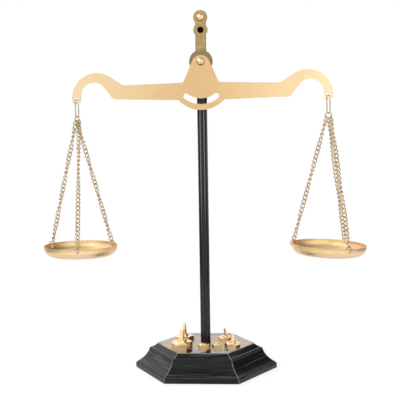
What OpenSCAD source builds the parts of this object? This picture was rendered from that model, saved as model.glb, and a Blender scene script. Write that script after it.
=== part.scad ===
// Balance scale: a hexagonal moulded base carries a fluted post, and a flat
// swan-neck beam turns on a screw near the top of the post. A pan hangs on
// three chains from each end of the beam, and six weights stand on the base.
// X runs along the beam, Y from front to back, Z up; the table is at z = 0.

/* [Base] */
// Width of the wooden base across the corners of its hexagon
base_across = 142; // [125:1:175]
// Height of the straight skirt's top edge above the table
skirt_h = 5.6; // [4:0.1:9]
// Step in from the skirt to the foot of the cove
skirt_step = 1.2; // [0.8:0.1:2]
// Height of that step
step_h = 0.8; // [0.4:0.1:1.5]
// How far the cove runs inwards
cove_run = 10.7; // [7:0.1:13]
// How far the cove climbs
cove_rise = 12.3; // [9:0.1:16]
// Radius of the cove's hollow curve
cove_r = 23; // [15:0.5:40]
// Upright fillet between the cove and the bead
fillet_h = 0.6; // [0.3:0.1:1.2]
// Radius of the bead over the cove
bead_r = 1.7; // [1:0.1:2.5]
// Flat ledge on top of the bead
ledge_w = 1.3; // [0.6:0.1:3]
// How far the sloped shoulder runs inwards under the plate
shoulder_run = 4; // [2:0.1:6]
// How far the sloped shoulder climbs
shoulder_rise = 3.4; // [2:0.1:6]
// Gap between the table and the wood, bridged by the felt
wood_lift = 0.4; // [0.2:0.1:0.8]
// Depth of the recess that the felt is glued into
felt_recess = 0.8; // [0.4:0.1:1.5]
// Distance from the skirt to the edge of the felt
felt_margin = 3; // [2:0.5:8]
// Thickness of the polished plate on the base
plate_t = 0.8; // [0.5:0.1:2]
// Wood left bare around the plate
plate_margin = 0.4; // [0.2:0.1:2]

/* [Post] */
// Diameter of the post
post_d = 10; // [9:0.5:14]
// Height of the post's top above the table
post_top = 353.5; // [345:0.5:400]
// Number of flutes around the post
flute_count = 8; // [6:1:10]
// Radius of the tool that cuts a flute
flute_r = 1.7; // [1.2:0.1:2]
// Depth of a flute
flute_depth = 0.8; // [0.4:0.1:1]
// Height at which the flutes end in round arches
flute_top = 266; // [150:1:270]
// Depth of the flat on the post's front that the hanger lies on
flat_depth = 0.5; // [0.3:0.1:0.9]
// Diameter of the threaded tenon under the post
tenon_d = 6; // [5:0.5:8]
// Depth of the counterbore for the nut, from the bottom of the wood
nut_pocket = 10; // [9:0.5:12]
// Diameter of that counterbore
pocket_d = 20; // [18:0.5:26]
// Thickness of the washer on the tenon
tenon_washer_t = 1.2; // [0.8:0.1:2]
// Width of the nut across its flats
nut_af = 10; // [9:0.5:13]
// Height of the nut
nut_h = 5; // [4:0.5:6]

/* [Hanger] */
// Height of the beam's pivot above the table
pivot_h = 304.8; // [300:0.1:312]
// Thickness of the hanger plate
hanger_t = 2; // [1.5:0.1:3]
// Width of the bar between the lower eye and the disc
hanger_bar_w = 10.2; // [8:0.1:12]
// Diameter of the disc behind the pivot
hanger_disc_d = 22.8; // [18:0.1:30]
// Diameter of the two eyes
eye_d = 13.7; // [12:0.1:16]
// Height of the lower, open eye above the pivot
lower_eye_h = 30.4; // [26:0.1:32]
// Distance between the two eyes
eye_pitch = 12.1; // [11:0.1:14]
// Diameter of the open hole in the lower eye
eye_hole_d = 6; // [4:0.1:7]

/* [Screws] */
// Diameter of a domed screw head
head_d = 8; // [7:0.1:9]
// Height of a domed screw head
head_h = 2; // [1.5:0.1:3]
// Width of a screwdriver slot
slot_w = 1.1; // [0.8:0.1:1.5]
// Depth of a screwdriver slot
slot_depth = 1; // [0.6:0.1:1.3]
// Diameter of the screw shanks in the post
shank_d = 3.4; // [3:0.1:4]
// Depth to which the shanks reach into the post
shank_reach = 6; // [4:0.1:7]
// Diameter of the pivot screw's smooth shoulder
shoulder_d = 5; // [4.5:0.1:6]
// Thickness of the washer between the hanger and the beam
pivot_washer_t = 1; // [0.6:0.1:2]
// Diameter of that washer
pivot_washer_d = 10; // [9:0.1:14]

/* [Beam] */
// Thickness of the beam
beam_t = 1.6; // [1.2:0.1:2]
// Distance from the pivot to each hook hole, along the beam
hook_reach = 122.8; // [110:0.1:150]
// Distance from the pivot down to the hook holes
hook_drop = 34.8; // [32:0.1:36]
// Radius of the beam's rounded apex
apex_r = 9; // [8:0.1:12]
// Distance from the pivot up to the apex
apex_rise = 6.1; // [5.5:0.1:8]
// Angle between the plumb line and each flank below the apex
flank_deg = 24; // [18:0.5:30]
// Depth of the arm's top edge below the pivot, at the middle
arm_top = 19.6; // [16:0.1:21]
// Depth of the arm's bottom edge below the pivot, at the middle
arm_bottom = 37.6; // [35:0.1:40]
// Slope of both arm edges, so that the arm narrows outwards
arm_taper_deg = 1.6; // [0.5:0.1:2]
// Depth of the swan neck's crown below the pivot
neck_top = 9.25; // [8:0.05:12]
// Outer radius of the swan neck
neck_r = 24.5; // [22:0.1:28]
// Depth of the throat's crown below the pivot
throat_top = 18.4; // [17:0.1:20]
// Radius of the throat inside the swan neck
throat_r = 12.9; // [11:0.1:14]
// Slope of the edge that rises from the arm to the swan neck
rise_deg = 34; // [28:1:40]
// Slope of the edge that falls from the throat to the arm
fall_deg = 52; // [48:1:60]
// Radius of the rounded tip around the hook hole
tip_r = 4.35; // [4:0.05:5]
// Diameter of the hook hole
hook_hole_d = 4.4; // [4:0.1:5]
// Depth of the beam's lowest point below the pivot
belly_drop = 46.9; // [43:0.1:52]
// Radius of the belly under the window
belly_r = 30; // [26:0.5:40]
// Depth of the window's middle line below the pivot, at the centre
window_drop = 38.4; // [36:0.1:41]
// Radius of the window's middle line
window_r = 24.4; // [20:0.1:32]
// Width of the window
window_w = 5.5; // [4.5:0.1:6]
// Distance between the centres of the window's round ends
window_span = 29.6; // [20:0.1:34]

/* [Links and rings] */
// Wire diameter of the long links
long_wire = 1.1; // [1:0.1:1.3]
// Length of a long link's opening
long_inner = 16.4; // [12:0.1:22]
// Width of a long link's opening
long_inner_w = 4.2; // [4:0.1:5]
// Turn of the left long link about the plumb line
left_long_turn = 68; // [48:1:75]
// Turn of the right long link about the plumb line
right_long_turn = 52; // [48:1:75]
// Height of a long link's top bar above its hook hole's centre
long_ride = 0.2; // [0:0.05:0.5]
// Wire diameter of the rings
ring_wire = 1.1; // [0.9:0.1:1.2]
// Diameter of the gathering ring along its wire's middle line
gather_d = 6.4; // [5.8:0.1:7.4]
// Angle along the gathering ring between neighbouring chains
gather_step = 45; // [40:1:48]
// Turn of the gathering ring's axis away from the direction of the second chain
gather_turn = 14; // [8:1:18]
// Diameter of the rim rings along their wire's middle line
rim_ring_d = 5.6; // [5:0.1:7]
// Turn of each rim ring out of the plane through the pan's axis
rim_ring_turn = 30; // [0:1:35]

/* [Chains] */
// Wire diameter of the chain links
chain_wire = 1.1; // [0.9:0.05:1.2]
// Length of a chain link's opening
chain_inner = 4.2; // [3.8:0.1:6]
// Width of a chain link's opening
chain_inner_w = 2.8; // [2.6:0.1:3.2]
// Twist of each end of a chain link out of the link's middle plane
link_twist = 26; // [24:1:30]
// Half the angle that the curve at each end of a chain link covers
link_bend = 70; // [65:1:75]
// Half turns that each chain of the left pan makes on its way down
left_half_turns = [1, 4, 4];
// Half turns that each chain of the right pan makes on its way down
right_half_turns = [2, 2, 3];

/* [Pans] */
// Diameter of a pan over its rim
pan_d = 73; // [60:0.5:90]
// Depth of a pan
pan_depth = 10.3; // [9:0.1:14]
// Thickness of a pan's wall
pan_wall = 0.9; // [0.7:0.1:1.2]
// Radius of the turn from a pan's side into its bottom
pan_turn_r = 9; // [7:0.1:9]
// Lean of a pan's side away from the plumb line
pan_lean_deg = 8; // [4:1:15]
// Height of the pans' rims above the table
pan_rim_h = 125.8; // [110:0.1:135]
// Depth of the chain holes below the rim
rim_hole_drop = 3; // [2.6:0.1:4]
// Diameter of the chain holes
rim_hole_d = 2.8; // [2.6:0.1:3.2]
// Direction of the left pan's first chain, about the plumb line
left_chain_deg = -83.5; // [-120:0.5:0]
// Direction of the right pan's first chain, about the plumb line
right_chain_deg = -60; // [-120:0.5:0]
// Tilt of the right pan, with its outer side lower
right_pan_tilt = 3; // [0:0.5:5]

/* [Weights] */
// Distance of each weight to the right of the post
weight_x = [-22.4, -22.5, 27.4, 18.9, -0.7, 12.5];
// Distance of each weight behind the post
weight_y = [-16.5, 14.4, -14.6, 13.9, -19.4, -18.3];
// Radius of each weight's hexagonal foot, to its corners
weight_foot_r = [10.4, 9.4, 7.7, 7.3, 5.5, 5];
// Height of each weight's hexagonal foot
weight_foot_h = [5.8, 4.4, 4, 3.2, 3.4, 3.1];
// Slope of the chamfer turned on each foot
weight_chamfer_deg = 30; // [20:1:45]
// How far that chamfer reaches in past the flats of the foot
weight_chamfer_in = 0.4; // [0.1:0.1:0.8]
// Radius of each weight's round collar
weight_collar_r = [4.2, 3.6, 3.3, 2.7, 3, 2.7];
// Height of each weight's collar above its foot
weight_collar_h = [1.6, 1.8, 1.8, 1.5, 1.3, 1.1];
// Radius of each weight's stem, or 0 where it has none
weight_stem_r = [2, 2, 1.9, 1.5, 0, 0];
// Height of each weight over all
weight_h = [17, 16.6, 13.1, 11.6, 4.7, 4.2];

/* [Hidden] */
$fn = 72;
LEFT = -1;
RIGHT = 1;
eps = 0.01;
// Radial clearance of a fixed fit and of a running fit, and play between faces that slide
fixed_gap = 0.02;
run_gap = 0.05;
side_play = 0.1;
// Play between two bars that hang on each other
hang_play = 0.05;

// Base, from the table up
half_flat = base_across / 2 * cos(30);
cove_foot = [half_flat - skirt_step, skirt_h + step_h];
cove_head = [cove_foot.x - cove_run, cove_foot.y + cove_rise];
bead_foot = [cove_head.x, cove_head.y + fillet_h];
shoulder_foot = [bead_foot.x - bead_r - ledge_w, bead_foot.y + bead_r];
wood_top = shoulder_foot.y + shoulder_rise;
plate_half = shoulder_foot.x - shoulder_run - plate_margin;
plate_top = wood_top + plate_t;
felt_top = wood_lift + felt_recess;
skirt_round = min(1, step_h + 0.4);
pocket_top = wood_lift + nut_pocket;
nut_top = pocket_top - tenon_washer_t;
tenon_end = nut_top - nut_h - 1;

// Post and what is stacked on its front, from back to front
post_r = post_d / 2;
hanger_back = -(post_r - flat_depth);
hanger_front = hanger_back - hanger_t;
washer_front = hanger_front - pivot_washer_t;
beam_back = washer_front - side_play;
beam_front = beam_back - beam_t;
beam_mid = (beam_back + beam_front) / 2;
pivot_head_back = beam_front - side_play;
upper_eye_z = pivot_h + lower_eye_h + eye_pitch;
shank_end = hanger_back + shank_reach;

// Beam outline, measured from the pivot
apex_c = [0, apex_rise - apex_r];
apex_tangent = apex_c + (apex_r - eps) * dir(flank_deg);
neck_c = [hook_reach + tip_r - neck_r, -neck_top - neck_r];
neck_tangent = neck_c + (neck_r - eps) * dir(90 + rise_deg);
throat_c = [hook_reach - tip_r - throat_r, -throat_top - throat_r];
throat_tangent = throat_c + (throat_r - eps) * dir(90 + fall_deg);
armpit = meet(apex_tangent, flank_deg - 90, [0, -arm_top], -arm_taper_deg);
rise_corner = meet([0, -arm_top], -arm_taper_deg, neck_tangent, rise_deg);
fall_corner = meet([0, -arm_bottom], arm_taper_deg, throat_tangent, fall_deg);
belly_c = [0, belly_r - belly_drop];
window_c = [0, window_r - window_drop];
window_half_deg = asin(window_span / 2 / window_r);
fall_length = 40;

// What hangs from each hook
hook_z = pivot_h - hook_drop;
long_top_z = hook_z + long_ride;
long_mid_z = long_top_z - (long_inner + long_wire) / 2;
long_bottom_z = long_top_z - long_inner - long_wire;
gather_r = gather_d / 2;
gather_z = long_bottom_z + (long_wire + ring_wire) / 2 + hang_play - gather_r;
rim_ring_r = rim_ring_d / 2;
pan_straight_h = pan_depth - pan_turn_r * (1 - sin(pan_lean_deg));
pan_turn_in = pan_turn_r * cos(pan_lean_deg) + pan_straight_h * tan(pan_lean_deg);
pan_turn_c = [pan_d / 2 - pan_turn_in, pan_turn_r - pan_depth];

function dir(a) = [cos(a), sin(a)];
// Point where the line through p at angle a meets the line through q at angle b
function meet(p, a, q, b) =
    let (d = q - p, run = (d.x * sin(b) - d.y * cos(b)) / sin(b - a))
    p + run * dir(a);
// Centre of the arc of radius r that bulges to the right of the way from p to q
function arc_centre(p, q, r) =
    let (mid = (p + q) / 2, way = q - p, half = norm(way) / 2)
    mid + [way.y, -way.x] / norm(way) * sqrt(r * r - half * half);

function side_x(side) = side * hook_reach;
// Direction of chain k, one to three, on a side
function chain_deg(side, k) = (side == LEFT ? left_chain_deg : right_chain_deg) + 120 * (k - 1);
// Direction of the gathering ring's axis
function gather_deg(side) = chain_deg(side, 2) + gather_turn;
function half_turns(side, k) = (side == LEFT ? left_half_turns : right_half_turns)[k - 1];
function pan_tilt(side) = side == LEFT ? 0 : right_pan_tilt;
// Radius of the middle of a pan's wall at a depth below the rim
function wall_mid_r(depth) = pan_d / 2 - (depth * tan(pan_lean_deg)) - pan_wall / 2 / cos(pan_lean_deg);
// Place of the hole for chain k in the pan's wall
function rim_hole(side, k) =
    let (r = wall_mid_r(rim_hole_drop), d = dir(chain_deg(side, k)), t = pan_tilt(side))
    [
        side_x(side) + r * d.x * cos(t) - rim_hole_drop * sin(t),
        beam_mid + r * d.y,
        pan_rim_h - r * d.x * sin(t) - rim_hole_drop * cos(t)
    ];
// Point on the gathering ring's wire that carries chain k
function chain_head(side, k) =
    let (a = (k - 2) * gather_step, across = gather_deg(side) + 90)
    [
        side_x(side) + gather_r * sin(a) * cos(across),
        beam_mid + gather_r * sin(a) * sin(across),
        gather_z - gather_r * cos(a)
    ];
// Unit vector from the rim hole of chain k up along the chain
function chain_way(side, k) =
    let (d = chain_head(side, k) - rim_hole(side, k))
    d / norm(d);
// Distance up chain k from its head to the top bar of its first link, which lies against the
// inner side of the gathering ring: less far where the ring's wire is level, farther where it slopes
function head_reach(side, k) =
    let (
        way = chain_way(side, k),
        a = (k - 2) * gather_step,
        across = gather_deg(side) + 90,
        sideways = way.x * cos(across) + way.y * sin(across),
        inwards = way.z * cos(a) - sideways * sin(a),
        flat = sideways * sideways + way.z * way.z,
        rest_r = gather_r - (ring_wire + chain_wire) / 2 - hang_play,
        spare = pow(gather_r * inwards, 2) - flat * (gather_r * gather_r - rest_r * rest_r)
    )
    (gather_r * inwards - sqrt(max(0, spare))) / flat;
// Where the middle of the rim ring's wire carries the chain's last link
function chain_tail(side, k) = rim_hole(side, k) + rim_ring_d * chain_way(side, k);

module color_wood() { color([0.09, 0.085, 0.09]) children(); }
module color_post() { color([0.12, 0.12, 0.13]) children(); }
module color_beam() { color([0.9, 0.82, 0.63]) children(); }
module color_brass() { color([0.83, 0.66, 0.38]) children(); }
module color_hanger() { color([0.62, 0.54, 0.31]) children(); }
module color_wire() { color([0.76, 0.69, 0.55]) children(); }

// Material between two edges that leave the corner p at angles a and b, up to an arc of radius r.
// It reaches past the corner too, so that it overlaps what it is joined to or cut from, and the
// arc crosses both edges by a hair, so that no sliver is left where it would only touch them.
module corner_web(p, a, b, r) {
    half = abs(b - a) / 2;
    middle = dir((a + b) / 2);
    centre = p + middle * r / sin(half);
    difference() {
        polygon([p - middle * r / 2, p + dir(a) * r / tan(half), centre, p + dir(b) * r / tan(half)]);
        translate(centre) circle(r + eps);
    }
}

// Upright hexagonal prism with its flats half apart from the axis
module hexagon(half, h) { cylinder(r = half / cos(30), h = h, $fn = 6); }

// Points on the arc round c of radius r, from angle a to angle b
function arc(c, r, a, b, steps) = [for (i = [0:steps]) c + r * dir(a + (b - a) * i / steps)];

// The moulding runs round the hexagon with a mitre at each corner. Its curves are cut
// as narrow flats, like those that a plane leaves, so that the mitres meet cleanly.
module wooden_base() {
    quarter_steps = 8;
    cove_steps = 16;
    cove_c = arc_centre(cove_foot, cove_head, cove_r);
    foot_way = cove_foot - cove_c;
    head_way = cove_head - cove_c;
    side = concat(
        [[half_flat, wood_lift]],
        arc([half_flat - skirt_round, skirt_h - skirt_round], skirt_round, 0, 90, quarter_steps),
        [[cove_foot.x, skirt_h]],
        arc(cove_c, cove_r, atan2(foot_way.y, foot_way.x), atan2(head_way.y, head_way.x), cove_steps),
        arc([bead_foot.x - bead_r, bead_foot.y], bead_r, 0, 90, quarter_steps),
        [shoulder_foot, [shoulder_foot.x - shoulder_run, wood_top]]
    );
    section = concat(side, [for (i = [len(side) - 1:-1:0]) [-side[i].x, side[i].y]]);
    color_wood() difference() {
        intersection_for (k = [0:2]) rotate([90, 0, 30 + 60 * k])
            linear_extrude(height = 2 * base_across, center = true) polygon(section);
        translate([0, 0, wood_lift - eps]) hexagon(half_flat - felt_margin, felt_recess + eps);
        translate([0, 0, wood_lift]) cylinder(d = pocket_d, h = nut_pocket);
        cylinder(r = tenon_d / 2 + run_gap, h = 2 * wood_top);
    }
}

module felt_pad() {
    color([0.13, 0.13, 0.13]) hexagon(half_flat - felt_margin - fixed_gap, felt_top);
}

module base_plate() {
    color([0.87, 0.8, 0.76]) difference() {
        translate([0, 0, wood_top]) hexagon(plate_half, plate_t);
        cylinder(r = post_r + run_gap, h = 2 * wood_top);
    }
}

// One flute: a straight round-nosed cut that ends in an arch
module flute_cut() {
    translate([post_r - flute_depth + flute_r, 0, 0]) {
        cylinder(r = flute_r, h = flute_top);
        translate([0, 0, flute_top]) sphere(flute_r);
    }
}

module screw_bore(z, r) {
    translate([0, hanger_back - eps, z]) rotate([-90, 0, 0]) cylinder(r = r, h = shank_reach + eps);
}

module post() {
    edge = 0.8;
    flat_foot = pivot_h - hanger_disc_d / 2 - 2;
    color_post() difference() {
        union() {
            translate([0, 0, wood_top]) cylinder(r = post_r, h = post_top - edge - wood_top);
            translate([0, 0, post_top - edge]) cylinder(r1 = post_r, r2 = post_r - edge, h = edge);
            translate([0, 0, tenon_end]) cylinder(d = tenon_d, h = wood_top - tenon_end);
        }
        for (k = [0:flute_count - 1]) rotate([0, 0, 360 / flute_count * k - 90]) flute_cut();
        translate([-post_r, hanger_back - post_d, flat_foot]) cube([post_d, post_d, post_top]);
        screw_bore(pivot_h, shank_d / 2 + fixed_gap);
        screw_bore(upper_eye_z, shank_d / 2 + fixed_gap);
    }
}

module post_washer() {
    color_brass() translate([0, 0, nut_top]) difference() {
        cylinder(d = pocket_d - 3, h = tenon_washer_t);
        translate([0, 0, -eps]) cylinder(r = tenon_d / 2 + run_gap, h = tenon_washer_t + 2 * eps);
    }
}

module post_nut() {
    color_brass() translate([0, 0, nut_top - nut_h]) difference() {
        hexagon(nut_af / 2, nut_h);
        translate([0, 0, -eps]) cylinder(r = tenon_d / 2 + fixed_gap, h = nut_h + 2 * eps);
    }
}

// A flat shape drawn in X and Z becomes a plate that reaches forwards from y = back
module upright_plate(back, t) {
    translate([0, back, 0]) rotate([90, 0, 0]) linear_extrude(height = t) children();
}

module hanger() {
    color_hanger() upright_plate(hanger_back, hanger_t) difference() {
        union() {
            translate([0, pivot_h]) circle(d = hanger_disc_d);
            translate([-hanger_bar_w / 2, pivot_h]) square([hanger_bar_w, lower_eye_h + eye_pitch]);
            translate([0, pivot_h + lower_eye_h]) circle(d = eye_d);
            translate([0, upper_eye_z]) circle(d = eye_d);
        }
        translate([0, pivot_h]) circle(shank_d / 2 + run_gap);
        translate([0, upper_eye_z]) circle(shank_d / 2 + run_gap);
        translate([0, pivot_h + lower_eye_h]) circle(d = eye_hole_d);
    }
}

// A domed, slotted head that stands forwards from y = back
module screw_head(z, back, slot_deg) {
    ball_r = (head_d * head_d / 4 + head_h * head_h) / (2 * head_h);
    translate([0, back, z]) rotate([90, 0, 0]) difference() {
        intersection() {
            cylinder(d = head_d, h = head_h);
            translate([0, 0, head_h - ball_r]) sphere(ball_r);
        }
        rotate([0, 0, slot_deg]) translate([-head_d, -slot_w / 2, head_h - slot_depth])
            cube([2 * head_d, slot_w, head_h]);
    }
}

module screw_shank(z, front, r, length) {
    translate([0, front, z]) rotate([-90, 0, 0]) cylinder(r = r, h = length);
}

module hanger_screw() {
    color_brass() {
        screw_head(upper_eye_z, hanger_front, 8);
        screw_shank(upper_eye_z, hanger_front, shank_d / 2, shank_end - hanger_front);
    }
}

module pivot_washer() {
    color_brass() upright_plate(hanger_front, pivot_washer_t) translate([0, pivot_h]) difference() {
        circle(d = pivot_washer_d);
        circle(shoulder_d / 2 + run_gap);
    }
}

module pivot_screw() {
    color_brass() {
        screw_head(pivot_h, pivot_head_back, 20);
        screw_shank(pivot_h, pivot_head_back, shoulder_d / 2, hanger_front - pivot_head_back);
        screw_shank(pivot_h, pivot_head_back, shank_d / 2, shank_end - pivot_head_back);
    }
}

// Prism that passes right through a plate of thickness t that lies on z = 0
module cut_through(t) { translate([0, 0, -1]) linear_extrude(height = t + 2) children(); }

// Right half of the beam before its holes, lying in X and Y
module half_beam() {
    difference() {
        linear_extrude(height = beam_t) {
            polygon([[-1, -arm_bottom], [0, -arm_bottom], fall_corner, neck_c, neck_tangent, rise_corner,
                armpit, apex_tangent, [-1, apex_tangent.y]]);
            intersection() {
                translate(neck_c) circle(neck_r, $fn = 180);
                translate([neck_c.x - neck_r, neck_c.y]) square([2 * neck_r, neck_r]);
            }
            translate([neck_c.x, -hook_drop]) square([neck_r, neck_c.y + hook_drop]);
            translate([hook_reach, -hook_drop]) circle(tip_r);
            corner_web(armpit, -arm_taper_deg, flank_deg + 90, 2.5);
            corner_web(rise_corner, rise_deg, 180 - arm_taper_deg, 9);
        }
        cut_through(beam_t) {
            translate(throat_c) circle(throat_r, $fn = 180);
            polygon([throat_tangent - fall_length * dir(fall_deg),
                [hook_reach - 2 * tip_r, -hook_drop - fall_length], [hook_reach - tip_r, -hook_drop],
                throat_c + [throat_r, 0], throat_c, throat_tangent]);
            corner_web(fall_corner, fall_deg, 180 + arm_taper_deg, 1.2);
        }
    }
}

// The window is a band of the circle round window_c with a round end on each side
module window() {
    reach = 2 * window_r;
    intersection() {
        difference() {
            circle(window_r + window_w / 2, $fn = 180);
            circle(window_r - window_w / 2, $fn = 180);
        }
        polygon([[0, 0], reach * dir(-90 - window_half_deg), reach * dir(-90 + window_half_deg)]);
    }
    for (e = [-1, 1]) translate(window_r * dir(-90 + e * window_half_deg)) circle(window_w / 2 + eps);
}

module beam() {
    color_beam() translate([0, beam_back, pivot_h]) rotate([90, 0, 0]) difference() {
        union() {
            half_beam();
            mirror([1, 0, 0]) half_beam();
            linear_extrude(height = beam_t) {
                translate(apex_c) circle(apex_r);
                intersection() {
                    translate(belly_c) circle(belly_r, $fn = 180);
                    translate([-belly_r, -arm_bottom - belly_r]) square([2 * belly_r, belly_r + 1]);
                }
            }
        }
        cut_through(beam_t) {
            translate(window_c) window();
            circle(shoulder_d / 2 + run_gap);
            for (e = [-1, 1]) translate([e * hook_reach, -hook_drop]) circle(d = hook_hole_d);
        }
    }
}

// Oval link, upright in X and Z, with its centre at the origin
module oval_link(inner_l, inner_w, wire) {
    bend_r = (inner_w + wire) / 2;
    half_leg = (inner_l - inner_w) / 2;
    for (up = [-1, 1]) {
        translate([0, 0, up * half_leg]) rotate([up * 90, 0, 0])
            rotate_extrude(angle = 180) translate([bend_r, 0]) circle(d = wire);
        translate([up * bend_r, 0, -half_leg]) cylinder(d = wire, h = 2 * half_leg);
    }
}

// Round ring, upright in X and Z, with its centre at the origin
module round_ring(d, wire) { rotate([90, 0, 0]) rotate_extrude() translate([d / 2, 0]) circle(d = wire); }

module long_link(side) {
    turn = side == LEFT ? left_long_turn : right_long_turn;
    color_wire() translate([side_x(side), beam_mid, long_mid_z]) rotate([0, 0, turn])
        oval_link(long_inner, long_inner_w, long_wire, $fn = 48);
}

module gathering_ring(side) {
    color_wire() translate([side_x(side), beam_mid, gather_z]) rotate([0, 0, gather_deg(side) + 90])
        round_ring(gather_d, ring_wire, $fn = 48);
}

// Puts a piece that stands along Z at a point, with Z along the unit vector way
module along(point, way) {
    translate(point) rotate([0, acos(way.z), atan2(way.y, way.x)]) children();
}

// Link of a curb chain, upright with its centre at the origin: the curves at its ends
// are twisted against each other, so that a row of such links lies flat. A ball at each
// corner, a hair larger than the wire, rounds the bend from the curve into the slanting leg.
module curb_link(inner_l, inner_w, wire) {
    bend_r = (inner_w + wire) / 2;
    bend_z = (inner_l + wire) / 2 - bend_r;
    out = bend_r * sin(link_bend);
    x = out * cos(link_twist);
    y = out * sin(link_twist);
    z = bend_z + bend_r * cos(link_bend);
    for (up = [-1, 1]) rotate([0, 0, up * link_twist]) translate([0, 0, up * bend_z])
        rotate([up * 90, 0, 0]) rotate([0, 0, 90 - link_bend])
            rotate_extrude(angle = 2 * link_bend) translate([bend_r, 0]) circle(d = wire);
    for (e = [-1, 1]) {
        leg = [0, -2 * e * y, -2 * z];
        along([e * x, e * y, z], leg / norm(leg)) cylinder(d = wire, h = norm(leg));
        for (up = [-1, 1]) translate([e * x, e * up * y, up * z]) sphere(d = wire + 2 * eps);
    }
}

// Links from the gathering ring down to the rim ring. The first link's upper curve crosses
// the one ring and the last link's lower curve the other, and the links share the turn between.
module chain(side, k) {
    way = chain_way(side, k);
    first = chain_head(side, k) + way * (head_reach(side, k) - (chain_inner + chain_wire) / 2);
    last = chain_tail(side, k) - way * (ring_wire / 2 + hang_play - chain_inner / 2);
    run = norm(first - last);
    steps = ceil(run / (chain_inner - hang_play));
    first_turn = gather_deg(side) - atan2(way.y, way.x) - link_twist;
    spare = 90 + rim_ring_turn + link_twist - first_turn;
    turn = (spare - 180 * round(spare / 180) + 180 * half_turns(side, k)) / steps;
    color_wire() for (i = [0:steps])
        along(first - way * run * i / steps, way) rotate([0, 0, first_turn + turn * i])
            curb_link(chain_inner, chain_inner_w, chain_wire, $fn = 24);
}

// A ring through each of the pan's three holes, drawn up along its chain
module rim_rings(side) {
    color_wire() for (k = [1:3])
        along(rim_hole(side, k) + rim_ring_r * chain_way(side, k), chain_way(side, k))
            rotate([0, 0, rim_ring_turn]) round_ring(rim_ring_d, ring_wire, $fn = 48);
}

// Half section of a pan, drawn in from its outer face by inset
module pan_section(inset) {
    r = pan_turn_r - inset;
    tangent = pan_turn_c + (r - eps) * dir(-pan_lean_deg);
    difference() {
        union() {
            translate(pan_turn_c) circle(r);
            polygon([[0, pan_turn_c.y - r], [pan_turn_c.x, pan_turn_c.y - r], pan_turn_c, tangent,
                [tangent.x - tangent.y * tan(pan_lean_deg), 0], [0, 0]]);
        }
        translate([0, 0]) square(2 * pan_d);
    }
}

module pan(side) {
    color([0.82, 0.68, 0.42]) difference() {
        translate([side_x(side), beam_mid, pan_rim_h]) rotate([0, pan_tilt(side), 0])
            rotate_extrude($fn = 120) difference() {
                pan_section(0);
                pan_section(pan_wall);
            }
        for (k = [1:3]) translate([side_x(side), beam_mid, pan_rim_h]) rotate([0, pan_tilt(side), 0])
            rotate([0, 90, chain_deg(side, k)])
                translate([rim_hole_drop, 0, pan_d / 4]) cylinder(d = rim_hole_d, h = pan_d / 2);
    }
}

// Hexagonal foot of a weight, with the corners of its top turned off
module weight_foot(r, h) {
    top_r = r * cos(30) - weight_chamfer_in;
    drop = (r + eps - top_r) * tan(weight_chamfer_deg);
    intersection() {
        cylinder(r = r, h = h, $fn = 6);
        rotate_extrude() polygon([[0, -1], [r + eps, -1], [r + eps, h - drop], [top_r, h], [0, h]]);
    }
}

// A weight: chamfered foot, round collar with a sloped top, and a stem on the larger ones
module weight(n) {
    i = n - 1;
    collar_r = weight_collar_r[i];
    collar_top = weight_foot_h[i] + weight_collar_h[i];
    bevel = 0.5;
    color([0.87, 0.7, 0.42]) translate([weight_x[i], weight_y[i], plate_top]) {
        weight_foot(weight_foot_r[i], weight_foot_h[i]);
        cylinder(r = collar_r, h = collar_top - bevel);
        translate([0, 0, collar_top - bevel]) cylinder(r1 = collar_r, r2 = collar_r - bevel, h = bevel);
        if (weight_stem_r[i] > 0) cylinder(r = weight_stem_r[i], h = weight_h[i]);
    }
}

wooden_base();
felt_pad();
base_plate();
post();
post_washer();
post_nut();
hanger();
hanger_screw();
pivot_washer();
pivot_screw();
beam();
long_link(LEFT);  // left_link
gathering_ring(LEFT);  // left_ring
chain(LEFT, 1);  // left_chain_1
chain(LEFT, 2);  // left_chain_2
chain(LEFT, 3);  // left_chain_3
rim_rings(LEFT);  // left_rim_rings
pan(LEFT);  // left_pan
long_link(RIGHT);  // right_link
gathering_ring(RIGHT);  // right_ring
chain(RIGHT, 1);  // right_chain_1
chain(RIGHT, 2);  // right_chain_2
chain(RIGHT, 3);  // right_chain_3
rim_rings(RIGHT);  // right_rim_rings
pan(RIGHT);  // right_pan
weight(1);  // weight_1
weight(2);  // weight_2
weight(3);  // weight_3
weight(4);  // weight_4
weight(5);  // weight_5
weight(6);  // weight_6
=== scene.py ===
import bpy
from math import cos, pi, radians, sin, tan
from mathutils import Matrix, Vector


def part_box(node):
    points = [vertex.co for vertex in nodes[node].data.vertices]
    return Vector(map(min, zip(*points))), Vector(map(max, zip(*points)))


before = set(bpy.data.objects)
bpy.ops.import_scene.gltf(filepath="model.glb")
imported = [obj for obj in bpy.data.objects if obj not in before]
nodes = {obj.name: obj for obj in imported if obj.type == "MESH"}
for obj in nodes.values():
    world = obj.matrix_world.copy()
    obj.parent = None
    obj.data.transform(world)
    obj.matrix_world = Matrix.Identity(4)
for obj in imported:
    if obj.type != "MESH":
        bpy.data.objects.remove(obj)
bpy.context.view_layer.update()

print("scale: frame loaded,", len(nodes), "nodes")


# camera, as the photograph was taken

cameraValues = {
    "place": (0.0725, -0.9427, 0.2557),
    "heading": 4.61,        # degrees to the left of straight ahead
    "pitch": 5.23,          # degrees down
    "roll": 0.92,           # degrees clockwise
    "focalPixels": 958.03,
    "imageWidth": 400,
    "sensor": 36.0,
    "nearest": 0.01,
    "farthest": 50,
}


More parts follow.
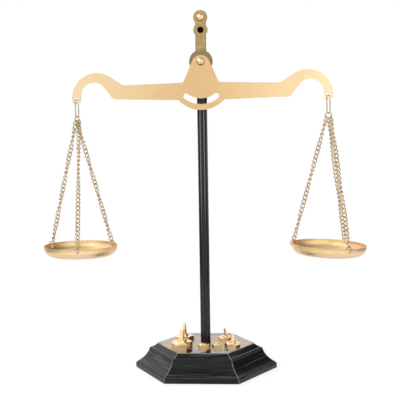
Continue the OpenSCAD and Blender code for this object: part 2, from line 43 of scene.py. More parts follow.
def setCamera(values):
    heading, pitch, roll = (radians(values[k]) for k in ("heading", "pitch", "roll"))
    ahead = Vector((-sin(heading) * cos(pitch), cos(heading) * cos(pitch), -sin(pitch)))
    right = ahead.cross(Vector((0, 0, 1))).normalized()
    up = right.cross(ahead)
    rolledUp = up * cos(roll) + right * sin(roll)
    rolledRight = right * cos(roll) - up * sin(roll)
    data = bpy.data.cameras.new("camera")
    data.sensor_width = values["sensor"]
    data.lens = values["focalPixels"] * values["sensor"] / values["imageWidth"]
    data.clip_start = values["nearest"]
    data.clip_end = values["farthest"]
    camera = bpy.data.objects.new("camera", data)
    bpy.context.scene.collection.objects.link(camera)
    turn = Matrix((rolledRight, rolledUp, -ahead)).transposed().to_4x4()
    camera.matrix_world = Matrix.Translation(values["place"]) @ turn
    bpy.context.scene.camera = camera


setCamera(cameraValues)
print("scale: camera set")


# small helpers for shader trees

def plugIn(tree, socket, value):
    if isinstance(value, bpy.types.NodeSocket):
        tree.links.new(value, socket)
    else:
        socket.default_value = value


def addNode(tree, kind, inputs=None, **settings):
    made = tree.nodes.new(kind)
    for name, value in settings.items():
        setattr(made, name, value)
    for key, value in (inputs or {}).items():
        plugIn(tree, made.inputs[key], value)
    return made


def calc(tree, operation, *values, clamp=False):
    inputs = dict(enumerate(values))
    return addNode(tree, "ShaderNodeMath", inputs, operation=operation, use_clamp=clamp).outputs[0]


def product(tree, first, *others):
    for other in others:
        first = calc(tree, "MULTIPLY", first, other)
    return first


def ramp(tree, factor, low, high, toLow=0.0, toHigh=1.0, smooth=True):
    inputs = {"Value": factor, "From Min": low, "From Max": high, "To Min": toLow, "To Max": toHigh}
    made = addNode(tree, "ShaderNodeMapRange", inputs)
    made.interpolation_type = "SMOOTHSTEP" if smooth else "LINEAR"
    return made.outputs["Result"]


def rgb(r, g, b):
    return (r, g, b, 1.0)


def blendColor(tree, factor, first, second):
    made = addNode(tree, "ShaderNodeMix", data_type="RGBA")
    # sockets 0, 6 and 7 are the factor and the two colours of a Mix node set to colour
    for index, value in ((0, factor), (6, first), (7, second)):
        plugIn(tree, made.inputs[index], value)
    return made.outputs[2]


def tint(tree, color, mask, share, newColor):
    return blendColor(tree, product(tree, mask, share), color, rgb(*newColor))


def objectPlace(tree):
    return addNode(tree, "ShaderNodeTexCoord").outputs["Object"]


def axesOf(tree, vector):
    return addNode(tree, "ShaderNodeSeparateXYZ", {0: vector}).outputs


def radiusOf(tree, x, y):
    return calc(tree, "SQRT", calc(tree, "ADD", product(tree, x, x), product(tree, y, y)))


def noiseAt(tree, vector, scale, detail, roughness=0.5):
    inputs = {"Vector": vector, "Scale": scale, "Detail": detail, "Roughness": roughness}
    return addNode(tree, "ShaderNodeTexNoise", inputs).outputs["Fac"]


def stretchedNoise(tree, vector, scales, detail, roughness=0.5):
    stretched = addNode(tree, "ShaderNodeMapping", {"Vector": vector, "Scale": scales})
    return noiseAt(tree, stretched.outputs[0], scale=1.0, detail=detail, roughness=roughness)


def newGroup(name, inputs, outputs):
    tree = bpy.data.node_groups.new(name, "ShaderNodeTree")
    for socketName, value in inputs.items():
        socket = tree.interface.new_socket(socketName, in_out="INPUT", socket_type="NodeSocketFloat")
        socket.default_value = value
    for socketName, kind in outputs.items():
        tree.interface.new_socket(socketName, in_out="OUTPUT", socket_type="NodeSocket" + kind)
    entry = tree.nodes.new("NodeGroupInput")
    leave = tree.nodes.new("NodeGroupOutput")
    return tree, entry.outputs, leave.inputs


def useGroup(tree, group, **inputs):
    made = tree.nodes.new("ShaderNodeGroup")
    made.node_tree = group
    for name, value in inputs.items():
        made.inputs[name].default_value = value
    return made.outputs


# shared effects

effectValues = {
    "noiseSpread": (0.3, 0.7),      # nearly all values of a noise lie between these
    "evenSpread": (0.35, 0.65),     # a little more contrast than that
    "edgeMatch": (0.995, 0.9),      # from where a rounded normal counts as an edge, and is one
    "edgeRound": 0.0002,            # metres, by which every edge looks rounded off
    "bevelSamples": 4,
    "sideShift": 0.31,              # moves the grain on from one side of the base to the next
    "ringWander": 0.6,              # how much a lathe's marks change round the axis
}
noiseSpread = effectValues["noiseSpread"]
evenSpread = effectValues["evenSpread"]


def makeSpeckle():
    # fine dots of a lacquered, polished or cast face, and its broad patches
    tree, given, result = newGroup("speckle", {"Grain": 4000.0, "Patch": 60.0},
                                   {"Dots": "Float", "Patches": "Float"})
    place = objectPlace(tree)
    tree.links.new(noiseAt(tree, place, given["Grain"], detail=3.0, roughness=0.6), result["Dots"])
    tree.links.new(noiseAt(tree, place, given["Patch"], detail=4.0, roughness=0.55), result["Patches"])
    return tree


def makeEdgeWear(values):
    # 1 along sharp edges, broken up by noise
    tree, given, result = newGroup("edgeWear", {"Width": 0.0006, "Breakup": 300.0}, {"Worn": "Float"})
    rounded = addNode(tree, "ShaderNodeBevel", {"Radius": given["Width"]}, samples=values["bevelSamples"])
    flat = addNode(tree, "ShaderNodeNewGeometry")
    match = addNode(tree, "ShaderNodeVectorMath", {0: rounded.outputs["Normal"], 1: flat.outputs["Normal"]},
                    operation="DOT_PRODUCT").outputs["Value"]
    edge = ramp(tree, match, *values["edgeMatch"])
    noise = noiseAt(tree, objectPlace(tree), given["Breakup"], detail=4.0)
    broken = ramp(tree, noise, *evenSpread)
    tree.links.new(product(tree, edge, broken), result["Worn"])
    return tree


def makeHexSides(values):
    # on the six sides of the base: the place along the side, and the distance to the nearest mitre
    tree, given, result = newGroup("hexSides", {}, {"Vector": "Vector", "Mitre": "Float"})
    x, y, z = axesOf(tree, objectPlace(tree))
    sideTurn = pi / 3
    side = calc(tree, "FLOOR", calc(tree, "DIVIDE", calc(tree, "ARCTAN2", y, x), sideTurn))
    sector = calc(tree, "ADD", product(tree, side, sideTurn), sideTurn / 2)
    c, s = calc(tree, "COSINE", sector), calc(tree, "SINE", sector)
    out = calc(tree, "ADD", product(tree, x, c), product(tree, y, s))
    along = calc(tree, "SUBTRACT", product(tree, y, c), product(tree, x, s))
    shifted = calc(tree, "ADD", along, product(tree, sector, values["sideShift"]))
    vector = addNode(tree, "ShaderNodeCombineXYZ", {0: shifted, 1: out, 2: z})
    toCorner = calc(tree, "SUBTRACT", product(tree, out, tan(sideTurn / 2)), calc(tree, "ABSOLUTE", along))
    tree.links.new(vector.outputs[0], result["Vector"])
    tree.links.new(product(tree, toCorner, cos(sideTurn / 2)), result["Mitre"])
    return tree


def makeTurned(values):
    # marks left by a lathe round an axis near upright: fine rings, broad bands, and the height
    tree, given, result = newGroup(
        "turned", {"AxisX": 0.0, "AxisY": 0.0, "AxisZ": 0.0, "Tilt": 0.0, "Fine": 4000.0, "Broad": 400.0},
        {"Rings": "Float", "Bands": "Float", "Height": "Float"})
    axis = addNode(tree, "ShaderNodeCombineXYZ", {i: given["Axis" + name] for i, name in enumerate("XYZ")})
    local = addNode(tree, "ShaderNodeVectorMath", {0: objectPlace(tree), 1: axis.outputs[0]},
                    operation="SUBTRACT")
    level = addNode(tree, "ShaderNodeVectorRotate", {"Vector": local.outputs[0], "Axis": (0, 1, 0),
                                                     "Angle": given["Tilt"]})
    x, y, z = axesOf(tree, level.outputs[0])
    radius = radiusOf(tree, x, y)
    around = product(tree, calc(tree, "ARCTAN2", y, x), values["ringWander"])
    for output, scale in (("Rings", "Fine"), ("Bands", "Broad")):
        rings = addNode(tree, "ShaderNodeCombineXYZ", {0: product(tree, radius, given[scale]),
                                                       1: product(tree, z, given[scale]), 2: around})
        tree.links.new(noiseAt(tree, rings.outputs[0], scale=1.0, detail=2.0), result[output])
    tree.links.new(z, result["Height"])
    return tree


speckle = makeSpeckle()
turned = makeTurned(effectValues)
edgeWear = makeEdgeWear(effectValues)
hexSides = makeHexSides(effectValues)
finishes = {}


def newMaterial(name, values):
    # a Principled material with its fixed values on its own sockets
    material = bpy.data.materials.new(name)
    material.use_nodes = True
    tree = material.node_tree
    tree.nodes.clear()
    shader = tree.nodes.new("ShaderNodeBsdfPrincipled")
    out = tree.nodes.new("ShaderNodeOutputMaterial")
    tree.links.new(shader.outputs[0], out.inputs["Surface"])
    shader.inputs["Metallic"].default_value = values.get("metallic", 0.0)
    shader.inputs["Specular IOR Level"].default_value = values.get("specular", 0.5)
    finishes[name] = material
    return tree, shader


def tintEdges(tree, color, values):
    worn = useGroup(tree, edgeWear, Width=values["edgeWidth"], Breakup=values["edgeBreakup"])["Worn"]
    return tint(tree, color, worn, values["edgeShare"], values["edgeColor"])


def paint(tree, shader, color):
    tree.links.new(color, shader.inputs["Base Color"])


def roughen(tree, shader, noise, low, high):
    tree.links.new(ramp(tree, noise, *noiseSpread, low, high), shader.inputs["Roughness"])


def bumpFrom(tree, shader, height, strength, distance, edgeRound=effectValues["edgeRound"]):
    # fine relief over edges that are rounded off by edgeRound, in metres
    rounded = addNode(tree, "ShaderNodeBevel", {"Radius": edgeRound}, samples=effectValues["bevelSamples"])
    bump = addNode(tree, "ShaderNodeBump", {"Height": height, "Strength": strength, "Distance": distance,
                                            "Normal": rounded.outputs["Normal"]})
    tree.links.new(bump.outputs["Normal"], shader.inputs["Normal"])


# metal finishes, and the felt

metalValues = {
    "polishedBrass": {
        "metallic": 1.0, "grain": 1500.0, "patch": 160.0,
        "light": (1.0, 0.8, 0.5), "dark": (0.97, 0.73, 0.41),
        "stain": 0.3, "stainColor": (0.86, 0.56, 0.26),
        "rough": (0.09, 0.18), "bump": (0.05, 0.0001),
        "edgeWidth": 0.0003, "edgeBreakup": 400.0, "edgeShare": 0.5, "edgeColor": (1.0, 0.86, 0.58),
    },
    "wireBrass": {
        "metallic": 0.9, "grain": 2500.0, "patch": 200.0,
        "light": (0.86, 0.71, 0.475), "dark": (0.61, 0.468, 0.27),
        "stain": 0.5, "stainColor": (0.335, 0.23, 0.13),
        "rough": (0.18, 0.3), "bump": (0.1, 0.0001),
        "edgeWidth": 0.0003, "edgeBreakup": 300.0, "edgeShare": 0.3, "edgeColor": (0.4, 0.29, 0.175),
    },
    "steel": {
        "metallic": 1.0, "grain": 2500.0, "patch": 200.0,
        "light": (0.6, 0.6, 0.61), "dark": (0.5, 0.5, 0.52),
        "stain": 0.3, "stainColor": (0.4, 0.38, 0.36),
        "rough": (0.25, 0.4), "bump": (0.1, 0.0001),
        "edgeWidth": 0.0004, "edgeBreakup": 300.0, "edgeShare": 0.4, "edgeColor": (0.75, 0.75, 0.76),
    },
    "felt": {
        "metallic": 0.0, "grain": 1500.0, "patch": 80.0,
        "light": (0.04, 0.04, 0.04), "dark": (0.015, 0.015, 0.015),
        "stain": 0.3, "stainColor": (0.03, 0.03, 0.03),
        "rough": (0.9, 1.0), "bump": (0.5, 0.0003),
        "edgeWidth": 0.0005, "edgeBreakup": 500.0, "edgeShare": 0.5, "edgeColor": (0.05, 0.05, 0.05),
    },
}
stainSpread = (0.4, 0.7)


def metal(name, values):
    tree, shader = newMaterial(name, values)
    spots = useGroup(tree, speckle, Grain=values["grain"], Patch=values["patch"])
    dots, patches = spots["Dots"], spots["Patches"]
    color = blendColor(tree, ramp(tree, dots, *evenSpread), rgb(*values["dark"]), rgb(*values["light"]))
    color = tint(tree, color, ramp(tree, patches, *stainSpread), values["stain"], values["stainColor"])
    paint(tree, shader, tintEdges(tree, color, values))
    roughen(tree, shader, patches, *values["rough"])
    bumpFrom(tree, shader, dots, *values["bump"])


for metalName, values in metalValues.items():
    metal(metalName, values)
print("scale: metals made")


# black lacquer of the post, with a painted highlight as pale lines on the ridges between its flutes

postValues = {
    "specular": 0.35,
    "lacquer": (0.0055, 0.0055, 0.007),
    "dusty": (0.022, 0.022, 0.026), "dustShare": 0.6, "dustSpread": (0.45, 0.75),
    "brushScales": (1800.0, 1800.0, 14.0),
    "ridgeHighlight": (0.175, 0.175, 0.19), "ridgeHighlightSpread": (0.3, 0.55), "leastBrushed": 0.5,
    # in metres: where a ridge begins and is full from the axis, the heights where its painted highlight
    # begins and is full, how much of the highlight is left below them, and the height where it ends
    "ridge": (0.0047, 0.00495), "ridgeHighlightHeight": (0.12, 0.2), "leastRidgeHighlight": 0.12,
    "ridgeTop": (0.268, 0.263),
    "seatFrom": 0.29, "seatDepth": 0.0001, "seatShadeColor": (0.006, 0.006, 0.006),
    "rough": (0.06, 0.16), "bump": (0.08, 0.00005),
}


def postLacquer(values):
    tree, shader = newMaterial("postLacquer", values)
    place = objectPlace(tree)
    x, y, z = axesOf(tree, place)
    brushed = stretchedNoise(tree, place, values["brushScales"], detail=4.0)
    color = tint(tree, rgb(*values["lacquer"]), ramp(tree, brushed, *values["dustSpread"]),
                 values["dustShare"], values["dusty"])
    # painted highlight: pale lines on the ridges between the flutes, fuller in the upper part of the post
    ridgeHighlight = product(tree, ramp(tree, radiusOf(tree, x, y), *values["ridge"]),
                     ramp(tree, z, *values["ridgeHighlightHeight"], values["leastRidgeHighlight"], 1.0),
                     ramp(tree, brushed, *values["ridgeHighlightSpread"], values["leastBrushed"], 1.0),
                     ramp(tree, z, *values["ridgeTop"]))
    color = blendColor(tree, ridgeHighlight, color, rgb(*values["ridgeHighlight"]))
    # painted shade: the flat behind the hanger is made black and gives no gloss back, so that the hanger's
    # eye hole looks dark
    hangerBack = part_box("hanger")[1][1]
    shadedSeat = product(tree, calc(tree, "GREATER_THAN", z, values["seatFrom"]),
                   calc(tree, "LESS_THAN", y, hangerBack + values["seatDepth"]))
    paint(tree, shader, blendColor(tree, shadedSeat, color, rgb(*values["seatShadeColor"])))
    tree.links.new(shadedSeat, shader.inputs["Metallic"])
    roughen(tree, shader, brushed, *values["rough"])
    bumpFrom(tree, shader, brushed, *values["bump"])


postLacquer(postValues)
print("scale: post's finish made")


# polished screw heads, with painted shade in dark brown along the lower rim

screwValues = {
    "nodes": ("hanger_screw", "pivot_screw"),
    "metallic": 1.0, "grain": 1500.0, "patch": 260.0,
    "bright": (0.98, 0.78, 0.5), "warm": (0.88, 0.6, 0.33), "warmSpread": (0.4, 0.65),
    "lowerRimShade": (0.13, 0.06, 0.025), "lowerRimShadeShare": 0.9,
    "lowerRimShadeDepth": (0.0012, 0.0034),     # below the middle of the head, in metres
    "edgeWidth": 0.0004, "edgeBreakup": 500.0, "edgeShare": 0.4, "edgeColor": (0.88, 0.6, 0.33),
    "rough": (0.08, 0.2), "bump": (0.05, 0.0001),
}


def screwHead(name, values):
    tree, shader = newMaterial(name + "Brass", values)
    spots = useGroup(tree, speckle, Grain=values["grain"], Patch=values["patch"])
    low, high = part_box(name)
    below = calc(tree, "SUBTRACT", (low[2] + high[2]) / 2, axesOf(tree, objectPlace(tree))[2])
    color = blendColor(tree, ramp(tree, spots["Patches"], *values["warmSpread"]),
                       rgb(*values["bright"]), rgb(*values["warm"]))
    # painted shade: dark brown over the lower part of each head
    color = tint(tree, color, ramp(tree, below, *values["lowerRimShadeDepth"]),
                 values["lowerRimShadeShare"], values["lowerRimShade"])
    paint(tree, shader, tintEdges(tree, color, values))
    roughen(tree, shader, spots["Patches"], *values["rough"])
    bumpFrom(tree, shader, spots["Dots"], *values["bump"])


for screwNode in screwValues["nodes"]:
    screwHead(screwNode, screwValues)
print("scale: screws' finish made")


# olive brass of the hanger: mottled, with a rosy stripe along the middle that is a painted reflection,
# painted shade on the disc behind the beam, and painted shade along its edges

hangerValues = {
    "metallic": 0.9, "grain": 2500.0, "patch": 220.0,
    "olive": (0.46, 0.33, 0.135),
    "rose": (0.56, 0.34, 0.2), "sheenHalfWidth": 0.0035, "sheenSpread": (0.35, 0.6),
    "dullToneAndShade": (0.27, 0.185, 0.09),
    "mottledShare": 0.35, "mottledSpread": (0.6, 0.4),
    "grainShare": 0.3, "grainSpread": (0.45, 0.75),
    "discShadeShare": 0.85, "discShadeHeight": (0.3185, 0.3135),      # where the painted shade on the disc behind the beam begins, in metres
    "edgeWidth": 0.002, "edgeBreakup": 250.0, "edgeShare": 0.9, "edgeColor": (0.12, 0.08, 0.045),
    "rough": (0.3, 0.46), "bump": (0.3, 0.0001),
}


def hangerBrass(values):
    tree, shader = newMaterial("hangerBrass", values)
    spots = useGroup(tree, speckle, Grain=values["grain"], Patch=values["patch"])
    dots, patches = spots["Dots"], spots["Patches"]
    x, y, z = axesOf(tree, objectPlace(tree))
    # painted reflection: a rosy stripe along the middle of the bar
    rosySheen = product(tree, ramp(tree, calc(tree, "ABSOLUTE", x), values["sheenHalfWidth"], 0.0),
                   ramp(tree, patches, *values["sheenSpread"]))
    color = blendColor(tree, rosySheen, rgb(*values["olive"]), rgb(*values["rose"]))
    # dull tints from the mottling and grain, and painted shade on the disc behind the beam
    for mask, share in ((ramp(tree, patches, *values["mottledSpread"]), values["mottledShare"]),
                        (ramp(tree, dots, *values["grainSpread"]), values["grainShare"]),
                        (ramp(tree, z, *values["discShadeHeight"]), values["discShadeShare"])):
        color = tint(tree, color, mask, share, values["dullToneAndShade"])
    # the dark edge tint is painted shade along the plate's edges
    paint(tree, shader, tintEdges(tree, color, values))
    roughen(tree, shader, patches, *values["rough"])
    bumpFrom(tree, shader, dots, *values["bump"])


hangerBrass(hangerValues)
print("scale: hanger's finish made")


# champagne gold of the beam, paler towards its ends

beamValues = {
    "metallic": 0.75, "grain": 3500.0, "patch": 28.0,
    "middle": (0.74, 0.49, 0.24), "ends": (0.9, 0.7, 0.41),
    "pale": (0.01, 0.115),              # distance from the post where it turns paler, in metres
    "shade": (0.66, 0.45, 0.24),
    "cloudShare": 0.3, "cloudSpread": (0.45, 0.8),
    "grainShare": 0.06, "grainSpread": (0.5, 0.8),
    "edgeWidth": 0.0005, "edgeBreakup": 200.0, "edgeShare": 0.5, "edgeColor": (1.0, 0.86, 0.6),
    "rough": (0.34, 0.44), "bump": (0.05, 0.0001),
}


def beamGold(values):
    tree, shader = newMaterial("beamGold", values)
    spots = useGroup(tree, speckle, Grain=values["grain"], Patch=values["patch"])
    dots, patches = spots["Dots"], spots["Patches"]
    fromPost = calc(tree, "ABSOLUTE", axesOf(tree, objectPlace(tree))[0])
    color = blendColor(tree, ramp(tree, fromPost, *values["pale"], smooth=False),
                       rgb(*values["middle"]), rgb(*values["ends"]))
    for mask, share in ((ramp(tree, patches, *values["cloudSpread"]), values["cloudShare"]),
                        (ramp(tree, dots, *values["grainSpread"]), values["grainShare"])):
        color = tint(tree, color, mask, share, values["shade"])
    paint(tree, shader, tintEdges(tree, color, values))
    roughen(tree, shader, patches, *values["rough"])
    bumpFrom(tree, shader, dots, *values["bump"])


beamGold(beamValues)
print("scale: beam's finish made")


# plate on the base: a satin champagne field between clear polished borders, whose dark grey tint is painted
# shade in place of dark reflections

plateValues = {
    "metallic": 1.0, "grain": 1400.0, "patch": 60.0,
    "field": (0.43, 0.315, 0.22), "fieldLight": (0.6, 0.48, 0.39), "shadedBorder": (0.225, 0.22, 0.25),
    "hazeShare": 0.3, "hazeSpread": (0.45, 0.75),
    "front": -0.0275, "back": 0.03, "side": 0.044,      # limits of the field, in metres
    "soft": 0.0006, "softSide": 0.0012,                 # how soft those limits are, in metres
    "fieldRough": 0.33, "borderRough": 0.06, "smear": 0.05,
    "bump": (0.05, 0.0001), "edgeRound": 0.0003,
}


def plateFinish(values):
    tree, shader = newMaterial("plateFinish", values)
    spots = useGroup(tree, speckle, Grain=values["grain"], Patch=values["patch"])
    dots, patches = spots["Dots"], spots["Patches"]
    x, y, z = axesOf(tree, objectPlace(tree))
    soft, softSide = values["soft"], values["softSide"]
    aside = calc(tree, "ABSOLUTE", x)
    inField = product(tree, ramp(tree, y, values["front"] - soft, values["front"] + soft),
                      ramp(tree, y, values["back"] + soft, values["back"] - soft),
                      ramp(tree, aside, values["side"] + softSide, values["side"] - softSide))
    field = blendColor(tree, ramp(tree, dots, *evenSpread),
                       rgb(*values["field"]), rgb(*values["fieldLight"]))
    # painted shade: the polished borders are really mirror-polished, and their dark grey tint stands in for
    # the dark reflections they show
    color = blendColor(tree, inField, rgb(*values["shadedBorder"]), field)
    haze = ramp(tree, patches, *values["hazeSpread"])
    paint(tree, shader, tint(tree, color, haze, values["hazeShare"], values["fieldLight"]))
    smear = ramp(tree, patches, *noiseSpread, 0.0, values["smear"])
    satin = ramp(tree, inField, 0.0, 1.0, values["borderRough"], values["fieldRough"], smooth=False)
    tree.links.new(calc(tree, "ADD", smear, satin), shader.inputs["Roughness"])
    bumpFrom(tree, shader, dots, *values["bump"], values["edgeRound"])


plateFinish(plateValues)
print("scale: plate's finish made")


# spun brass of the pans, with painted light on their floors

panValues = {
    # middle of each pan's rim, in metres, and its tilt in degrees
    "leftSpun": {"axis": (-0.1228, -0.0084, 0.1258), "tilt": 0.0},
    "rightSpun": {"axis": (0.1228, -0.0084, 0.1258), "tilt": -3.0},
    "metallic": 0.8, "fineRings": 5000.0, "broadRings": 350.0,
    "light": (1.0, 0.74, 0.42), "dark": (0.88, 0.61, 0.29),
    "clouds": 42.0,
    "olive": (0.74, 0.6, 0.27), "oliveShare": 0.5, "oliveSpread": (0.5, 0.62),
    "blush": (0.98, 0.72, 0.52), "blushShare": 0.55, "blushSpread": (0.48, 0.36),
    "rose": (0.8, 0.58, 0.405),         # under the pan
    "litCream": (0.9, 0.68, 0.4),          # on its floor, painted lighter where it faces up
    "upwards": (-0.05, 0.15),           # how far a face points up where rose turns into cream
    "bottomShare": 0.9, "bottomHeight": (-0.003, -0.009),   # below the rim, in metres
    "rim": (0.7, 0.43, 0.19), "rimShare": 0.7, "rimHeight": (-0.0012, -0.0003),
    "rough": (0.31, 0.44), "bump": (0.04, 0.00005),
}


def spunPan(name, values):
    tree, shader = newMaterial(name, values)
    x, y, z = values[name]["axis"]
    marks = useGroup(tree, turned, AxisX=x, AxisY=y, AxisZ=z, Tilt=radians(values[name]["tilt"]),
                     Fine=values["fineRings"], Broad=values["broadRings"])
    color = blendColor(tree, ramp(tree, marks["Bands"], *evenSpread),
                       rgb(*values["light"]), rgb(*values["dark"]))
    clouds = useGroup(tree, speckle, Patch=values["clouds"])["Patches"]
    for stain in ("olive", "blush"):
        color = tint(tree, color, ramp(tree, clouds, *values[stain + "Spread"]), values[stain + "Share"],
                     values[stain])
    # painted light: faces that point up, the pans' floors, are given a lighter cream
    facing = axesOf(tree, addNode(tree, "ShaderNodeTexCoord").outputs["Normal"])[2]
    bottom = blendColor(tree, ramp(tree, facing, *values["upwards"]),
                        rgb(*values["rose"]), rgb(*values["litCream"]))
    low = ramp(tree, marks["Height"], *values["bottomHeight"])
    color = blendColor(tree, product(tree, low, values["bottomShare"]), color, bottom)
    lip = ramp(tree, marks["Height"], *values["rimHeight"])
    paint(tree, shader, tint(tree, color, lip, values["rimShare"], values["rim"]))
    roughen(tree, shader, marks["Rings"], *values["rough"])
    bumpFrom(tree, shader, marks["Rings"], *values["bump"])


for panFinish in ("leftSpun", "rightSpun"):
    spunPan(panFinish, panValues)
print("scale: pans' finish made")


# black painted wood of the base, with pale edges that are partly wear and partly painted highlight

woodValues = {
    "specular": 0.225,
    "paint": (0.006, 0.006, 0.007),
    "streak": (0.092, 0.09, 0.1), "grainScales": (14.0, 620.0, 620.0), "grainSpread": (0.52, 0.62),
    "bandScales": (8.0, 90.0, 90.0), "bandSpread": (0.4, 0.56),     # the streaks come in broad bands
    "worn": (0.3, 0.27, 0.275), "mitreWidth": 0.0007,               # pale lines on the mitres, in metres
    "patchy": 150.0, "patchySpread": (0.3, 0.6), "leastWorn": 0.35,
    "edgeWidth": 0.0009, "edgeBreakup": 90.0, "edgeShare": 0.5, "edgeColor": (0.13, 0.125, 0.13),
    "smoothest": 0.22, "grainRough": 0.2, "bump": (0.3, 0.0002),
}


def blackWood(values):
    tree, shader = newMaterial("blackWood", values)
    sides = useGroup(tree, hexSides)
    grain = stretchedNoise(tree, sides["Vector"], values["grainScales"], detail=6.0, roughness=0.6)
    bands = stretchedNoise(tree, sides["Vector"], values["bandScales"], detail=3.0)
    streaks = product(tree, ramp(tree, grain, *values["grainSpread"]),
                      ramp(tree, bands, *values["bandSpread"]))
    color = blendColor(tree, streaks, rgb(*values["paint"]), rgb(*values["streak"]))
    # pale edges: partly wear, partly a painted highlight along the ledge and the top of the skirt
    color = tintEdges(tree, color, values)
    nearMitre = ramp(tree, calc(tree, "ABSOLUTE", sides["Mitre"]), values["mitreWidth"], 0.0)
    patchy = noiseAt(tree, objectPlace(tree), values["patchy"], detail=4.0)
    worn = product(tree, nearMitre, ramp(tree, patchy, *values["patchySpread"], values["leastWorn"], 1.0))
    paint(tree, shader, blendColor(tree, worn, color, rgb(*values["worn"])))
    rough = calc(tree, "ADD", product(tree, grain, values["grainRough"]), values["smoothest"])
    tree.links.new(rough, shader.inputs["Roughness"])
    bumpFrom(tree, shader, grain, *values["bump"])


blackWood(woodValues)
print("scale: wood made")


# every CAD node gets its finish

finishOf = {
    "wooden_base": "blackWood", "felt_pad": "felt", "base_plate": "plateFinish",
    "post": "postLacquer", "post_washer": "steel", "post_nut": "steel",
    "hanger": "hangerBrass", "hanger_screw": "hanger_screwBrass", "pivot_screw": "pivot_screwBrass",
    "pivot_washer": "polishedBrass", "beam": "beamGold",
    "left_pan": "leftSpun", "right_pan": "rightSpun",
}

for name, thing in nodes.items():
    # the rest is weights, and the links, rings and chains
    finish = finishOf.get(name, "polishedBrass" if name.startswith("weight") else "wireBrass")
    thing.data.materials.clear()
    thing.data.materials.append(finishes[finish])
print("scale: finishes on all nodes")


# floor, backdrop and light

stageValues = {
    "floorSize": 0.9,
    "floorGap": 0.0001,     # between the floor and the felt
    "floorWhite": 0.86,
    "shadowShare": 0.35,    # how much of the real shading of the floor the camera sees
    "floorGlow": 1.17,      # brightness of the rest, just past white
    "worldStrength": 0.98,
    "studioShare": 0.5,     # how much of the studio shows in metal, over the plain white
    "lampAim": (0, 0, 0.2),
}

# dark cards round the object and one bright screen: how far each takes light away or adds it, and
# the limits of its directions, each an axis, where the card begins and where it is full
cardValues = {
    "farLeft": (0.9, (("x", -0.62, -0.85), ("z", 0.25, 0.1))),
    "frontLeftGap": (0.6, (("x", -0.24, -0.34), ("x", -0.5, -0.44), ("y", 0.0, -0.3), ("z", 0.25, 0.1))),
    "frontRight": (0.6, (("x", 0.26, 0.4), ("y", 0.0, -0.3), ("z", 0.25, 0.1))),
    "backRight": (0.95, (("x", 0.27, 0.48), ("y", -0.4, 0.1))),
    "highFront": (0.46, (("z", 0.35, 0.75), ("y", 0.1, -0.4))),
    "overhead": (0.5, (("z", 0.75, 0.97),)),
}
screenValues = (0.32, (("x", -0.15, -0.4), ("y", -0.4, 0.1), ("z", 0.2, 0.4), ("z", 0.95, 0.75)))

lampValues = {
    "keyLamp": {"place": (-0.9, -1.0, 1.2), "size": (1.6, 1.6), "power": 8.5},
    "fillLamp": {"place": (0.7, -1.3, 0.5), "size": (1.4, 1.4), "power": 4.0},
    "topLamp": {"place": (-0.4, 0.9, 1.4), "size": (1.4, 1.0), "power": 3.0},
}


def backdropRays(tree):
    # rays that come straight from the camera, and rays that metal and gloss send on
    path = addNode(tree, "ShaderNodeLightPath").outputs
    return path["Is Camera Ray"], calc(tree, "ADD", path["Is Glossy Ray"], path["Is Transmission Ray"])


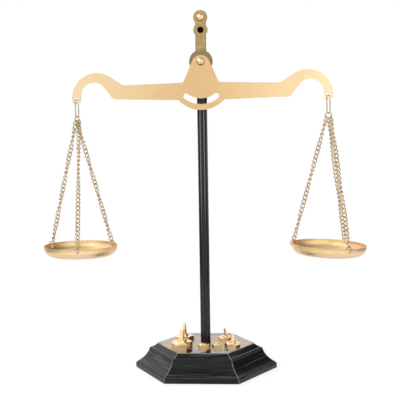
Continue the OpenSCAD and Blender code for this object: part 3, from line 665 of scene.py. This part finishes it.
def makeFloor(values):
    bpy.ops.mesh.primitive_plane_add(size=values["floorSize"], location=(0, 0, -values["floorGap"]))
    floor = bpy.context.object
    floor.name = "floor"
    material = bpy.data.materials.new("floor")
    material.use_nodes = True
    tree = material.node_tree
    tree.nodes.clear()
    matt = addNode(tree, "ShaderNodeBsdfDiffuse", {"Color": rgb(*(values["floorWhite"],) * 3)})
    white = addNode(tree, "ShaderNodeEmission", {"Strength": values["floorGlow"]})
    direct, mirrored = backdropRays(tree)
    share = product(tree, calc(tree, "ADD", direct, mirrored, clamp=True), 1 - values["shadowShare"])
    lit = addNode(tree, "ShaderNodeMixShader", {0: share, 1: matt.outputs[0], 2: white.outputs[0]})
    # clear from below, so that the underside can be looked at
    fromBelow = product(tree, addNode(tree, "ShaderNodeNewGeometry").outputs["Backfacing"], direct)
    clear = tree.nodes.new("ShaderNodeBsdfTransparent")
    mix = addNode(tree, "ShaderNodeMixShader", {0: fromBelow, 1: lit.outputs[0], 2: clear.outputs[0]})
    out = tree.nodes.new("ShaderNodeOutputMaterial")
    tree.links.new(mix.outputs[0], out.inputs["Surface"])
    floor.data.materials.append(material)


def makeWorld(values, cards, screen):
    world = bpy.data.worlds.new("studio")
    bpy.context.scene.world = world
    world.use_nodes = True
    tree = world.node_tree
    tree.nodes.clear()
    way = addNode(tree, "ShaderNodeTexCoord").outputs["Generated"]
    axes = dict(zip("xyz", axesOf(tree, way)))

    def strengthOf(card):
        share, limits = card
        return product(tree, share, *(ramp(tree, axes[axis], begins, full)
                                      for axis, begins, full in limits))

    unshaded = product(tree, *(calc(tree, "SUBTRACT", 1.0, strengthOf(card)) for card in cards.values()))
    glow = calc(tree, "ADD", product(tree, unshaded, values["worldStrength"]), strengthOf(screen))
    soft = addNode(tree, "ShaderNodeBackground", {"Color": rgb(1, 1, 1), "Strength": glow})
    white = addNode(tree, "ShaderNodeBackground", {"Color": rgb(1, 1, 1), "Strength": 1.0})
    direct, mirrored = backdropRays(tree)
    plain = product(tree, mirrored, unshaded, 1 - values["studioShare"])
    share = calc(tree, "ADD", direct, plain, clamp=True)
    mix = addNode(tree, "ShaderNodeMixShader", {0: share, 1: soft.outputs[0], 2: white.outputs[0]})
    out = tree.nodes.new("ShaderNodeOutputWorld")
    tree.links.new(mix.outputs[0], out.inputs["Surface"])


def addLamp(name, values, aim):
    data = bpy.data.lights.new(name, "AREA")
    data.shape = "RECTANGLE"
    data.size, data.size_y = values["size"]
    data.energy = values["power"]
    lamp = bpy.data.objects.new(name, data)
    bpy.context.scene.collection.objects.link(lamp)
    lamp.location = values["place"]
    way = Vector(aim) - Vector(values["place"])
    lamp.rotation_euler = way.to_track_quat("-Z", "Y").to_euler()


makeFloor(stageValues)
makeWorld(stageValues, cardValues, screenValues)
for lampName, values in lampValues.items():
    addLamp(lampName, values, stageValues["lampAim"])
bpy.context.scene.view_settings.view_transform = "Standard"
print("scale: stage set")
